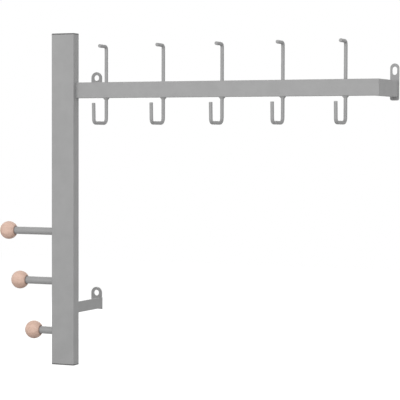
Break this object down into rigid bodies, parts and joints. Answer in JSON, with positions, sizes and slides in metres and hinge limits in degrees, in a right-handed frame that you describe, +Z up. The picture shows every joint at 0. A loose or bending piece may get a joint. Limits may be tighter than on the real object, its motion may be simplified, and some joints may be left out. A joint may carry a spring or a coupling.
{
  "type": "wall coat rack",
  "caption": "Wall coat rack: an upright flat tube post carries a side rail of bent-wire double hooks, ball-ended pegs, and ear brackets that hold it off the wall.",
  "frame": {"origin": "on the wall plane, midway between the two screw holes behind the post", "axes": "+X along the rail away from the post, +Y into the wall, +Z up"},
  "size_m": [0.6457, 0.1343, 0.53],
  "materials": {
    "grey_paint": "satin powder coat",
    "cap_plastic": "matt",
    "beech": "oiled, fine grain",
    "stud_steel": "plain threaded rod"
  },
  "bodies": {
    "root": {"post": "grey_paint", "rail": "grey_paint", "rail_return": "grey_paint", "end_wall_plate": "grey_paint", "upper_wall_bracket": "grey_paint", "lower_wall_bracket": "grey_paint", "coat_hook_1": "grey_paint", "coat_hook_2": "grey_paint", "coat_hook_3": "grey_paint", "coat_hook_4": "grey_paint", "coat_hook_5": "grey_paint", "peg_rod_1": "grey_paint", "peg_rod_2": "grey_paint", "peg_rod_3": "grey_paint", "post_top_cap": "cap_plastic", "post_bottom_cap": "cap_plastic", "peg_ball_1": "beech", "peg_ball_2": "beech", "peg_ball_3": "beech", "ball_stud_1": "stud_steel", "ball_stud_2": "stud_steel", "ball_stud_3": "stud_steel"}
  },
  "joints": []
}
